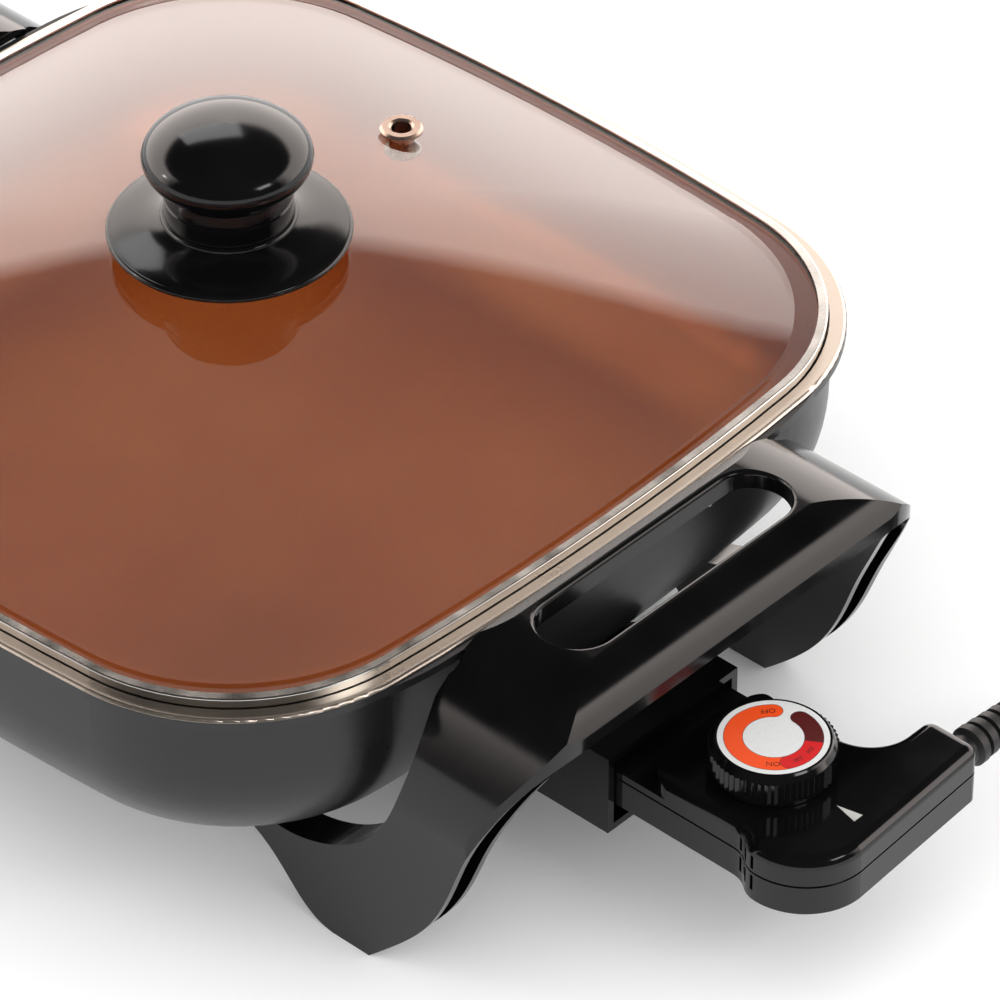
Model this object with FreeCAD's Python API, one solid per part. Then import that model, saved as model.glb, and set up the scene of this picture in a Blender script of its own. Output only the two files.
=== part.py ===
import FreeCAD, Part
import math
import os

# Electric skillet: a square pan with a heating element cast into its base, two handles whose
# legs stand it on the table, a domed glass lid that lifts off, and a plug-in heat control.
# X runs along the handles, -Y is the control's side, Z is up and the table is Z = 0.

vec = FreeCAD.Vector
os.makedirs("parts", exist_ok=True)

# Pan
rimZ = 106.0
panHalf = 152.4
panCorner = 68.0
sideBow = 1000.0
flangeThick = 3.6
wallInset = 4.1
wallThick = 3.4
baseRadius = 41.1
baseZ = 39.5
floorThick = 7.0
liningThick = 0.4
liningFit = 0.03
seatInset = 4.6
seatDepth = 2.0
earReach = 2.0
earCorner = 86.0
earHalfSpan = 110.0

# Heating element and the casting round it
elementRadius = 3.3
elementZ = 41.0
elementHalf = 68.0
elementBend = 18.0
beadRadius = 6.0
pinSpacing = 28.0
pinRadius = 2.2
pinLength = 24.0
pinBushLength = 3.0
sheathProud = 1.2
blockHalf = 27.0
blockFrontY = -126.0
blockBackY = -82.0
blockZ = 28.5

# Sensor probe and its sleeve
probeZ = 41.0
probeRadius = 2.8
probeTipY = -88.0
runningGap = 0.06
sleeveWall = 1.4

# Socket guard round the pins
guardHalf = 28.0
guardFrontY = -175.5
guardTopZ = 54.7
guardBaseZ = 27.0
guardWall = 2.4
guardBackWall = 3.0
guardRoofY = -144.0
guardScrewX = 21.0
guardScrewZ = 33.0

# Handle moulding with its two legs
handleInnerY = -(panHalf + 0.8)
handleOuterY = handleInnerY - 46.3
handleTopZ = 110.0
plateThick = 6.0
lipThick = 4.5
legOuterX = 92.0
shoulderRadius = 46.0
shellWall = 2.6
slotHalf = 37.2
slotRadius = 11.9
slotY = handleInnerY - 17.9
slotRound = 1.4
gripCorner = 28.0
footOuterX = 91.0
footInnerX = 83.0
armX = 85.0
armBossY = -79.0
armBossRadius = 7.5
armGap = 2.0
armThick = 6.0
grooveGap = 0.2
ledgeHalf = 62.0
ledgeThick = 4.8
ledgeScrewX = 40.0

# Screws
armScrewRadius = 2.5
armScrewLength = 14.0
smallScrewRadius = 1.5
headRatio = 1.8

# Lid
lidGap = 0.4
bandSheet = 0.7
bandLip = 2.6
glassThick = 3.6
glassPlay = 0.2
domeRise = 28.5
domeFoot = 0.955
domeCrown = 0.17
ventPlace = (82.0, 8.0)
ventHole = 4.2
ventFlange = 6.6

# Knob
knobFlangeRadius = 36.4
knobNeckRadius = 19.2
knobCapRadius = 25.3
knobSeatRadius = 12.0
knobFlangeRise = 4.0
knobNeckTop = 22.4
knobHeight = 42.8
knobGlassHole = 3.4
knobScrewRadius = 2.4

# Heat control
noseHalf = 25.0
noseTipY = -141.0
noseTopZ = 49.0
controlBaseZ = 36.5
partingZ = 46.5
deckZ = 56.0
deckStepY = -187.0
controlWall = 2.4
controlFrontY = -253.5
flareStartY = -220.0
flareEndY = -232.5
flare = 4.5
bodyRightX = 24.0
tailEndX = 48.0
tailInnerY = -231.0
tailFillet = 14.0
deckRound = 3.5
ventSlotPitch = 3.6
ventSlotWidth = 1.2
receptacleWall = 1.3
receptacleLength = 18.0

# Dial
dialY = -213.0
dialSkirtRadius = 18.9
dialTopRadius = 17.0
dialLabelRadius = 16.1
dialLabelThick = 0.6
dialTopZ = 67.6
dialGap = 0.4
dialTeeth = 60
toothDepth = 0.55
shaftRadius = 3.0

# Cord, coil and plug
cordRadius = 3.5
cordRimY = -240.5
cordExitZ = 45.0
reliefLength = 34.0
reliefRibs = 6
coilStep = 7.6
coilTurns = 2.5
coilHead = 7.0
coilTail = 22.0
coilInner = 37.25
coilCentre = (196.0, -287.25)
plugLength = 34.0
plugWidth = 25.0
bladeLength = 17.5
bladeGap = 12.7

# The claimed origin is the bottom centre of the object without its cord
frameShift = vec(0, -(controlFrontY - handleOuterY) / 2.0, 0)


def save(name, shape):
    placed = shape.copy()
    placed.translate(frameShift)
    placed.exportStep("parts/" + name + ".step")
    print(name, len(placed.Solids), round(placed.Volume / 1000.0, 2), placed.isValid())


def fuse(shapes):
    joined = shapes[0].multiFuse(shapes[1:])
    return joined.removeSplitter()


def box(x0, x1, y0, y1, z0, z1):
    return Part.makeBox(x1 - x0, y1 - y0, z1 - z0, vec(x0, y0, z0))


def rod(radius, start, end):
    way = vec(*end) - vec(*start)
    return Part.makeCylinder(radius, way.Length, vec(*start), way)


def mirrored(shape):
    return shape.mirror(vec(0, 0, 0), vec(1, 0, 0))


def turned(shape):
    other = shape.copy()
    other.rotate(vec(0, 0, 0), vec(0, 0, 1), 180)
    return other


# A square whose sides bow outwards: four side arcs joined tangentially by four corner arcs
def bowedSquare(half, corner, bow, z):
    toSide = bow - half
    inner = toSide ** 2 - (bow - corner) ** 2
    at = (-2 * toSide + math.sqrt(4 * toSide ** 2 - 8 * inner)) / 4
    edge = math.atan2(at, at + toSide)
    edges = []
    for quarter in range(4):
        def place(x, y):
            spun = vec(x, y, 0)
            for _ in range(quarter):
                spun = vec(-spun.y, spun.x, 0)
            return vec(spun.x, spun.y, z)

        def onSide(angle):
            return place(bow * math.sin(angle), toSide - bow * math.cos(angle))

        def onCorner(angle):
            return place(at + corner * math.sin(angle), -at - corner * math.cos(angle))
        edges.append(Part.Arc(onSide(-edge), onSide(0), onSide(edge)).toShape())
        edges.append(Part.Arc(onCorner(edge), onCorner(math.pi / 4),
                              onCorner(math.pi / 2 - edge)).toShape())
    return Part.Wire(edges)


def panOutline(inset, z):
    return bowedSquare(panHalf - inset, panCorner - 0.6 * inset, sideBow - inset, z)


def panSlab(inset, z0, z1):
    return Part.Face(panOutline(inset, z0)).extrude(vec(0, 0, z1 - z0))


# A bowl that drops straight and then turns in on one large radius to a flat floor
def bowl(inset, radius, floorZ, topZ):
    turnZ = floorZ + radius
    levels = [(inset, topZ), (inset, (topZ + turnZ) / 2), (inset, turnZ)]
    for step in range(1, 7):
        angle = step * math.pi / 12
        levels.append((inset + radius * (1 - math.cos(angle)), turnZ - radius * math.sin(angle)))
    return Part.makeLoft([panOutline(i, z) for i, z in reversed(levels)], True)


def innerBowl(extra, topZ):
    inset = wallInset + wallThick + extra
    turnZ = baseZ + baseRadius
    floorZ = baseZ + floorThick + extra
    return bowl(inset, turnZ - floorZ, floorZ, topZ)


# Straight runs joined by tangent arcs through a list of corner points
def roundedPath(points, radii):
    edges = []
    last = vec(*points[0])
    for i in range(1, len(points) - 1):
        here = vec(*points[i])
        back = (vec(*points[i - 1]) - here).normalize()
        on = (vec(*points[i + 1]) - here).normalize()
        half = back.getAngle(on) / 2
        reach = radii[i - 1] / math.tan(half)
        start = here + back * reach
        end = here + on * reach
        middle = (back + on).normalize()
        bulge = here + middle * (radii[i - 1] / math.sin(half) - radii[i - 1])
        edges.append(Part.LineSegment(last, start).toShape())
        edges.append(Part.Arc(start, bulge, end).toShape())
        last = end
    edges.append(Part.LineSegment(last, vec(*points[-1])).toShape())
    return Part.Wire(edges)


def pipe(path, radius):
    first = path.Edges[0]
    start = first.valueAt(first.FirstParameter)
    way = first.tangentAt(first.FirstParameter)
    ring = Part.Wire(Part.makeCircle(radius, start, way))
    return path.makePipeShell([ring], True, False)


def elementPath(startY):
    x = pinSpacing / 2
    far = elementHalf
    near = -far - 14
    route = [(-x, startY), (-x, near), (-far, near), (-far, far), (far, far), (far, near),
             (x, near), (x, startY)]
    return [(px, py, 0) for px, py in route]


def elementPipe(startY, radius, z):
    route = [(px, py, z) for px, py, _ in elementPath(startY)]
    return pipe(roundedPath(route, [elementBend * 0.8] + [elementBend] * 4 + [elementBend * 0.8]),
                radius)


def screwUp(x, y, z, radius, length):
    head = Part.makeCylinder(radius * headRatio, radius * 1.1, vec(x, y, z - radius * 1.1))
    slot = box(x - radius * 1.4, x + radius * 1.4, y - 0.5, y + 0.5, z - radius * 1.1,
               z - radius * 0.6)
    return fuse([head, rod(radius, (x, y, z), (x, y, z + length))]).cut(slot)


# Pan casting: walls, bare rim with its lid seat, ears, element bead, terminal block and bosses
def earSlab():
    wide = bowedSquare(panHalf + earReach, earCorner, sideBow, rimZ - flangeThick)
    slab = Part.Face(wide).extrude(vec(0, 0, flangeThick - 1.0))
    reach = panHalf + 10
    return slab.common(box(-earHalfSpan, earHalfSpan, -reach, reach, 0, rimZ))


def armUnderZ():
    return baseZ - armGap - armThick


def armScrewSpots():
    return [(sx * armX, sy * armBossY) for sx in (-1, 1) for sy in (-1, 1)]


def ledgeScrewY(x):
    return handleInnerY + 2.2


def ledgeScrewSpots():
    return [(sx * ledgeScrewX, sy * ledgeScrewY(ledgeScrewX)) for sx in (-1, 1) for sy in (-1, 1)]


def panBody():
    flange = panSlab(0, rimZ - flangeThick, rimZ)
    flange = flange.makeFillet(1.2, [e for e in flange.Edges if min(v.Z for v in e.Vertexes) > rimZ - 0.1])
    shell = fuse([flange, earSlab(), bowl(wallInset, baseRadius, baseZ, rimZ - flangeThick / 2)])
    bead = elementPipe(blockFrontY + 4, beadRadius, elementZ - 0.6)
    block = box(-blockHalf, blockHalf, blockFrontY, blockBackY, blockZ, elementZ + 3)
    bosses = [rod(armBossRadius, (x, y, baseZ - armGap), (x, y, baseZ + 2))
              for x, y in armScrewSpots()]
    body = fuse([shell, bead, block] + bosses)
    body = body.cut(innerBowl(0, rimZ + 1))
    body = body.cut(panSlab(seatInset, rimZ - seatDepth, rimZ + 1))
    bores = [elementPipe(blockFrontY - 10, elementRadius, elementZ),
             rod(probeRadius + runningGap + sleeveWall, (0, blockFrontY - 1, probeZ),
                 (0, probeTipY + 4, probeZ))]
    bores += [rod(smallScrewRadius, (sx * guardScrewX, blockFrontY - 1, guardScrewZ),
                  (sx * guardScrewX, blockFrontY + 9, guardScrewZ)) for sx in (-1, 1)]
    bores += [rod(armScrewRadius, (x, y, baseZ - 3), (x, y, baseZ + 5)) for x, y in armScrewSpots()]
    bores += [rod(smallScrewRadius, (x, y, rimZ - flangeThick - 1), (x, y, rimZ - seatDepth + 0.6))
              for x, y in ledgeScrewSpots()]
    return body.cut(bores)


def ceramicLining():
    outer = innerBowl(liningFit, rimZ - seatDepth)
    return outer.cut(innerBowl(liningThick, rimZ + 1))


def heatingElement():
    return elementPipe(blockFrontY - guardBackWall - sheathProud, elementRadius, elementZ)


def terminalPins():
    face = blockFrontY - guardBackWall - sheathProud
    pins = []
    for sx in (-1, 1):
        x = sx * pinSpacing / 2
        pins.append(rod(pinRadius, (x, face, elementZ), (x, face - pinLength, elementZ)))
    return Part.makeCompound(pins)


def pinBushes():
    face = blockFrontY - guardBackWall - sheathProud
    bushes = []
    for sx in (-1, 1):
        x = sx * pinSpacing / 2
        ring = rod(elementRadius, (x, face, elementZ), (x, face - pinBushLength, elementZ))
        bushes.append(ring.cut(rod(pinRadius, (x, face + 1, elementZ), (x, face - 9, elementZ))))
    return Part.makeCompound(bushes)


def sensorSleeve():
    outer = probeRadius + runningGap + sleeveWall
    tube = rod(outer, (0, blockFrontY, probeZ), (0, probeTipY + 4, probeZ))
    return tube.cut(rod(probeRadius + runningGap, (0, blockFrontY - 1, probeZ),
                        (0, probeTipY + 1, probeZ)))


def sideProfile(points, x0, x1):
    wire = Part.makePolygon([vec(x0, y, z) for y, z in points + points[:1]])
    return Part.Face(wire).extrude(vec(x1 - x0, 0, 0))


def socketGuard():
    t = guardWall
    outline = [(guardFrontY, guardBaseZ), (guardFrontY, guardTopZ), (guardRoofY, guardTopZ),
               (blockFrontY - guardBackWall, 45.3), (blockFrontY, 43.6), (blockFrontY, guardBaseZ)]
    hollow = [(guardFrontY - 1, guardBaseZ + t), (guardFrontY - 1, guardTopZ - t),
              (guardRoofY - 1.0, guardTopZ - t), (blockFrontY - guardBackWall, 43.6),
              (blockFrontY - guardBackWall, guardBaseZ + t)]
    guard = sideProfile(outline, -guardHalf, guardHalf)
    guard = guard.cut(sideProfile(hollow, -guardHalf + t, guardHalf - t))
    cuts = [rod(elementRadius, (sx * pinSpacing / 2, blockFrontY + 1, elementZ),
                (sx * pinSpacing / 2, blockFrontY - 9, elementZ)) for sx in (-1, 1)]
    cuts += [rod(smallScrewRadius, (sx * guardScrewX, blockFrontY + 1, guardScrewZ),
                 (sx * guardScrewX, blockFrontY - 9, guardScrewZ)) for sx in (-1, 1)]
    cuts.append(rod(probeRadius + 1.2, (0, blockFrontY + 1, probeZ), (0, blockFrontY - 9, probeZ)))
    return guard.cut(cuts)


def guardScrews():
    screws = []
    face = blockFrontY - guardBackWall
    for sx in (-1, 1):
        x = sx * guardScrewX
        head = rod(smallScrewRadius * headRatio, (x, face, guardScrewZ), (x, face - 1.8, guardScrewZ))
        shank = rod(smallScrewRadius, (x, face - 0.1, guardScrewZ), (x, blockFrontY + 9, guardScrewZ))
        slot = box(x - 2.0, x + 2.0, face - 2, face - 1.2, guardScrewZ - 0.4, guardScrewZ + 0.4)
        screws.append(fuse([head, shank]).cut(slot))
    return Part.makeCompound(screws)


def spline(points):
    curve = Part.BSplineCurve()
    curve.interpolate([vec(*p) for p in points])
    return curve.toShape()


def chain(pieces):
    edges = []
    for kind, points in pieces:
        if kind == "curve":
            edges.append(spline(points))
        elif kind == "arc":
            edges.append(Part.Arc(*[vec(*p) for p in points]).toShape())
        else:
            for a, b in zip(points, points[1:]):
                edges.append(Part.LineSegment(vec(*a), vec(*b)).toShape())
    return Part.Wire(edges)


# Side view of the moulding: grip, leg, foot, and the arm that reaches under the pan
def handleSide():
    def at(y, z):
        return (-120.0, y, z)
    top = handleTopZ
    lip = handleOuterY
    armTop = baseZ - armGap
    outline = [
        ("line", [at(handleInnerY, top - 1.6), at(handleInnerY, rimZ - 0.9)]),
        ("line", [at(handleInnerY, rimZ - 0.9), at(handleInnerY - 1.6, rimZ - 0.9),
                  at(handleInnerY - 1.6, rimZ - flangeThick - grooveGap),
                  at(handleInnerY + 4.0, rimZ - flangeThick - grooveGap),
                  at(handleInnerY + 4.0, rimZ - flangeThick - ledgeThick),
                  at(handleInnerY - 1.0, rimZ - flangeThick - ledgeThick)]),
        ("curve", [at(handleInnerY - 1.0, rimZ - flangeThick - ledgeThick), at(handleInnerY - 2.8, 84.0),
                   at(handleInnerY + 0.7, 67.0), at(handleInnerY + 7.2, 53.0),
                   at(handleInnerY + 19.2, 39.5), at(handleInnerY + 33.2, 32.0),
                   at(armBossY - 27.0, 29.5), at(armBossY - 17.0, 31.5),
                   at(armBossY - armBossRadius, armTop)]),
        ("line", [at(armBossY - armBossRadius, armTop), at(armBossY + armBossRadius, armTop),
                  at(armBossY + armBossRadius, armTop - armThick)]),
        ("curve", [at(armBossY + armBossRadius, armTop - armThick), at(armBossY - 5.0, 27.0),
                   at(armBossY - 16.0, 23.0),
                   at(armBossY - 27.0, 14.0), at(armBossY - 36.0, 4.5), at(handleInnerY + 27.2, 0.0)]),
        ("line", [at(handleInnerY + 27.2, 0.0), at(handleInnerY + 13.2, 0.0)]),
        ("curve", [at(handleInnerY + 13.2, 0.0), at(handleInnerY - 0.8, 14.0),
                   at(handleInnerY - 9.8, 25.0), at(handleInnerY - 17.3, 39.0),
                   at(handleInnerY - 23.8, 56.0), at(handleInnerY - 31.3, 72.0),
                   at(handleInnerY - 39.3, 86.5),
                   at(lip, top - 9.5 - lipThick)]),
        ("line", [at(lip, top - 9.5 - lipThick), at(lip, top - 9.5)]),
        ("arc", [at(lip, top - 9.5), at(lip + 6.0, top - 2.6), at(lip + 15.5, top)]),
        ("line", [at(lip + 15.5, top), at(handleInnerY - 4.0, top)]),
        ("line", [at(handleInnerY - 4.0, top), at(handleInnerY, top - 1.6)]),
    ]
    return Part.Face(chain(outline)).extrude(vec(240, 0, 0))


# Front view: flat grip, round shoulders and legs that narrow to the feet
def handleFront():
    def at(x, z):
        return (x, -215.0, z)
    r = shoulderRadius
    shoulderX = legOuterX - r
    shoulderZ = handleTopZ - r
    lean = r * math.sin(math.pi / 4)
    outline = [
        ("line", [at(-footOuterX, 0), at(-legOuterX, shoulderZ)]),
        ("arc", [at(-legOuterX, shoulderZ), at(-shoulderX - lean, shoulderZ + lean),
                 at(-shoulderX, handleTopZ)]),
        ("line", [at(-shoulderX, handleTopZ), at(shoulderX, handleTopZ)]),
        ("arc", [at(shoulderX, handleTopZ), at(shoulderX + lean, shoulderZ + lean),
                 at(legOuterX, shoulderZ)]),
        ("line", [at(legOuterX, shoulderZ), at(footOuterX, 0), at(-footOuterX, 0)]),
    ]
    return Part.Face(chain(outline)).extrude(vec(0, 160, 0))


# Plan view of the grip: a straight lip whose ends turn back on one radius
def handlePlan():
    lip = handleOuterY
    wide = legOuterX + 1
    turn = gripCorner
    lean = turn * math.sin(math.pi / 4)
    corner = [(wide, lip + turn), (wide - turn + lean, lip + turn - lean), (wide - turn, lip)]
    right = [(x, y, -1) for x, y in corner]
    left = [(-x, y, -1) for x, y in reversed(corner)]
    outline = [("arc", right), ("line", [right[-1], left[0]]), ("arc", left),
               ("line", [left[-1], (-wide, -40, -1), (wide, -40, -1), right[0]])]
    return Part.Face(chain(outline)).extrude(vec(0, 0, handleTopZ + 2))


# The finger slot, its upper edge rounded over where it meets the grip's flat top
def fingerSlot():
    def prism(extra, z0, z1):
        wide = slotRadius + extra
        return fuse([rod(wide, (sx * slotHalf, slotY, z0), (sx * slotHalf, slotY, z1))
                     for sx in (-1, 1)] + [box(-slotHalf, slotHalf, slotY - wide, slotY + wide, z0, z1)])
    cutter = fuse([prism(0, 80, handleTopZ + 1), prism(slotRound * 2, handleTopZ, handleTopZ + 1)])

    def onCorner(edge):
        level = edge.BoundBox
        middle = edge.valueAt((edge.FirstParameter + edge.LastParameter) / 2)
        reach = math.hypot(max(abs(middle.x) - slotHalf, 0), middle.y - slotY)
        flat = abs(level.ZMin - handleTopZ) < 0.1 and abs(level.ZMax - handleTopZ) < 0.1
        return flat and abs(reach - slotRadius) < 0.1
    return cutter.makeFillet(slotRound, [e for e in cutter.Edges if onCorner(e)])


def betweenLegs():
    def at(x, z):
        return (x, -230.0, z)
    rise = [(footInnerX, -5), (footInnerX, 0), (79.5, 34), (78.5, 56), (74.5, 78), (66.0, 97),
            (58.0, 107)]
    right = [at(x, z) for x, z in rise[1:]]
    left = [at(-x, z) for x, z in reversed(rise[1:])]
    outline = [("line", [at(-footInnerX, 0), at(-footInnerX, -5), at(footInnerX, -5),
                         at(footInnerX, 0)]),
               ("curve", right), ("line", [right[-1], left[0]]), ("curve", left)]
    opening = Part.Face(chain(outline)).extrude(vec(0, 175, 0))
    top = handleTopZ
    lip = handleOuterY
    under = [(-235, -6), (-235, top - 9.5 - lipThick), (lip + 4, top - 9.5 - lipThick),
             (lip + 6, top - 10), (lip + 15.5, top - plateThick), (handleInnerY - 1.6, top - plateThick),
             (handleInnerY - 1.6, rimZ - flangeThick - ledgeThick), (-50, rimZ - flangeThick - ledgeThick),
             (-50, -6)]
    return opening.common(sideProfile(under, -120, 120))


# The hollow between each leg's two walls, open outwards
def legPocket():
    def at(x, z):
        return (x, -230.0, z)
    wall = shellWall
    r = shoulderRadius - wall
    shoulderX = legOuterX - shoulderRadius
    shoulderZ = handleTopZ - shoulderRadius
    lean = r * math.sin(math.pi / 5)
    out = r * math.cos(math.pi / 5)
    inner = [(footInnerX + wall, 6), (79.5 + wall, 34), (78.5 + wall, 56), (74.5 + wall, 78),
             (69.5, 93)]
    outline = [
        ("curve", [at(x, z) for x, z in inner]),
        ("line", [at(69.5, 93), at(shoulderX + out, shoulderZ + lean)]),
        ("arc", [at(shoulderX + out, shoulderZ + lean),
                 at(shoulderX + r * math.cos(0.3), shoulderZ + r * math.sin(0.3)),
                 at(shoulderX + r, shoulderZ)]),
        ("line", [at(shoulderX + r, shoulderZ), at(footOuterX - wall, 6), at(footInnerX + wall, 6)]),
    ]
    pocket = Part.Face(chain(outline)).extrude(vec(0, 170, 0))
    back = [(-5.8, 110), (-6.8, 84), (-3.3, 67), (3.2, 52), (14.2, 38), (21.2, 28), (19.2, 6)]
    web = [(-240, 6), (-240, 110)] + [(handleInnerY + y, z) for y, z in back]
    return pocket.common(sideProfile(web, 0, 120))


def handleMoulding():
    body = handleSide().common(handleFront()).common(handlePlan())
    body = body.cut(betweenLegs())
    pocket = legPocket()
    body = body.cut([pocket, mirrored(pocket)])
    body = body.cut(fingerSlot())
    ledgeCut = [box(min(sx * ledgeHalf, sx * 120), max(sx * ledgeHalf, sx * 120),
                    handleInnerY - 1.0, -140, rimZ - flangeThick - ledgeThick - 1, rimZ)
                for sx in (-1, 1)]
    body = body.cut(ledgeCut)
    screws = [rod(armScrewRadius, (sx * armX, armBossY, 0), (sx * armX, armBossY, 60))
              for sx in (-1, 1)]
    screws += [rod(armScrewRadius * headRatio + 0.3, (sx * armX, armBossY, 0),
                   (sx * armX, armBossY, armUnderZ())) for sx in (-1, 1)]
    screws += [rod(smallScrewRadius, (sx * ledgeScrewX, ledgeScrewY(0), 80),
                   (sx * ledgeScrewX, ledgeScrewY(0), rimZ - flangeThick + 0.1)) for sx in (-1, 1)]
    return body.cut(screws)


def armScrews():
    low = armUnderZ()
    return Part.makeCompound([screwUp(x, y, low, armScrewRadius, armScrewLength - 1.0)
                              for x, y in armScrewSpots()])


def ledgeScrews():
    low = rimZ - flangeThick - ledgeThick
    return Part.makeCompound([screwUp(x, y, low, smallScrewRadius, ledgeThick + 1.8)
                              for x, y in ledgeScrewSpots()])


# Lid: the glass is a dome whose level lines go from the pan's outline to a circle
def lidSection(share, z):
    inset = seatInset + lidGap + bandSheet + glassPlay
    edge = panHalf - inset
    half = edge * share
    corner = (panCorner - 0.6 * inset) * share + half * 0.48 * (1 - share)
    bow = (sideBow - inset) * share ** 2 + half * 1.3 * (1 - share)
    return bowedSquare(half, corner, bow, z)


def domeZ(share):
    flat = domeFoot
    if share > flat:
        return 0.0
    return domeRise * (1 - (share / flat) ** 2) ** 1.05


def dome(lift):
    shares = [domeFoot, 0.87, 0.74, 0.56, 0.36, domeCrown]
    z = glassBase() + glassThick + lift
    return Part.makeLoft([lidSection(s, z + domeZ(s)) for s in shares], True)


def glassBase():
    return rimZ - seatDepth + bandSheet


def glassTopZ():
    return glassBase() + glassThick + domeZ(domeCrown)


def ventZ():
    reach = math.hypot(*ventPlace) / (panHalf * 0.962)
    return glassBase() + glassThick + domeZ(reach)


def lidGlass():
    base = glassBase()
    edge = Part.Face(lidSection(1.0, base)).extrude(vec(0, 0, glassThick))
    full = edge.fuse(dome(0))
    hollow = dome(-glassThick)
    glass = full.cut(hollow)
    x, y = ventPlace
    holes = [rod(knobGlassHole, (0, 0, base), (0, 0, base + 60)),
             rod(ventHole, (x, y, base), (x, y, base + 60))]
    return glass.cut(holes)


def bandRing(outer, inner, z0, z1):
    return panSlab(outer, z0, z1).cut(panSlab(inner, z0 - 1, z1 + 1))


def lidBand():
    outer = seatInset + lidGap
    base = rimZ - seatDepth
    top = glassBase() + glassThick + glassPlay
    wall = bandRing(outer, outer + bandSheet, base, top + bandSheet)
    wall = wall.makeFillet(0.5, [e for e in wall.Edges
                                 if min(v.Z for v in e.Vertexes) > top + bandSheet - 0.01
                                 and abs(e.BoundBox.YMax) + abs(e.BoundBox.XMax) > 0
                                 and onOutline(e, outer)])
    low = bandRing(outer + 0.3, outer + bandLip, base, base + bandSheet)
    high = bandRing(outer + 0.6, outer + bandLip, top, top + bandSheet)
    return fuse([wall, low, high])


def onOutline(edge, inset):
    line = panOutline(inset, edge.Vertexes[0].Z)
    middle = edge.valueAt((edge.FirstParameter + edge.LastParameter) / 2)
    return line.distToShape(Part.Vertex(middle))[0] < 0.05


def revolved(points, x=0.0, y=0.0):
    pieces = [vec(x + r, y, z) for r, z in points + points[:1]]
    face = Part.Face(Part.makePolygon(pieces))
    return face.revolve(vec(x, y, 0), vec(0, 0, 1), 360)


def revolvedChain(pieces):
    return Part.Face(chain(pieces)).revolve(vec(0, 0, 0), vec(0, 0, 1), 360)


def ventGrommet():
    x, y = ventPlace
    low = ventZ() - glassThick
    high = ventZ()
    bore = ventHole - 1.1
    sink = 0.32 * ventFlange
    foot = low - 0.55 * ventFlange
    points = [(bore, foot - 0.8), (ventHole + 1.4, foot - 0.8), (ventHole + 1.4, foot),
              (ventHole, foot), (ventHole, high + sink), (ventFlange, high + sink),
              (ventFlange, high + sink + 0.7), (ventFlange - 0.8, high + sink + 1.4),
              (bore + 0.8, high + sink + 1.4), (bore, high + sink + 0.8)]
    return revolved(points, x, y)


def knobSeatZ():
    return glassTopZ() + 0.02


# Knob: one moulding for the wide guard and neck, a second for the grip on top
def knobBase():
    z = knobSeatZ()
    r = knobFlangeRadius
    n = knobNeckRadius

    def at(radius, height):
        return (radius, 0.0, z + height)
    rise = knobFlangeRise
    top = knobNeckTop
    outline = [
        ("line", [at(knobScrewRadius + 0.4, 0), at(knobSeatRadius, 0), at(knobSeatRadius, rise - 0.4),
                  at(r - 4, rise), at(r - 1.2, rise - 0.2)]),
        ("arc", [at(r - 1.2, rise - 0.2), at(r, rise + 1.0), at(r - 1.2, rise + 2.2)]),
        ("curve", [at(r - 1.2, rise + 2.2), at(r - 7, rise + 3.5), at(n + 4, rise + 5.0),
                   at(n + 1.2, rise + 6.2)]),
        ("arc", [at(n + 1.2, rise + 6.2), at(n + 0.9, rise + 7.1), at(n, rise + 7.5)]),
        ("line", [at(n, rise + 7.5), at(n, top - 5.4), at(n - 0.5, top - 5.0),
                  at(n - 0.5, top - 4.4), at(n, top - 4.0), at(n, top),
                  at(knobScrewRadius + 0.4, top), at(knobScrewRadius + 0.4, 0)]),
    ]
    return revolvedChain(outline)


def knobCap():
    z = knobSeatZ()
    n = knobNeckRadius
    c = knobCapRadius

    def at(radius, height):
        return (radius, 0.0, z + height)
    low = knobNeckTop
    high = knobHeight
    deep = low + 6.0
    outline = [
        ("line", [at(0, deep), at(0, high)]),
        ("curve", [at(0, high), at(c * 0.42, high - 1.1), at(c * 0.8, high - 4.8),
                   at(c * 0.97, high - 8.9), at(c, high - 11.7), at(c * 0.955, low + 5.2),
                   at(n + 1.6, low + 1.2), at(n + 0.3, low)]),
        ("line", [at(n + 0.3, low), at(knobScrewRadius, low), at(knobScrewRadius, deep),
                  at(0, deep)]),
    ]
    return revolvedChain(outline)


def knobScrew():
    glassLow = glassTopZ() - glassThick
    head = glassLow - 1.6
    shank = rod(knobScrewRadius, (0, 0, head), (0, 0, knobSeatZ() + knobNeckTop + 6.0))
    cap = Part.makeCylinder(5.6, 2.2, vec(0, 0, head - 2.2))
    slot = box(-4, 4, -0.5, 0.5, head - 2.2, head - 1.2)
    return fuse([shank, cap]).cut(slot)


def washer(outer, low, high):
    return rod(outer, (0, 0, low), (0, 0, high)).cut(
        rod(knobScrewRadius, (0, 0, low - 1), (0, 0, high + 1)))


def glassUnderZ():
    return glassTopZ() - glassThick


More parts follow.
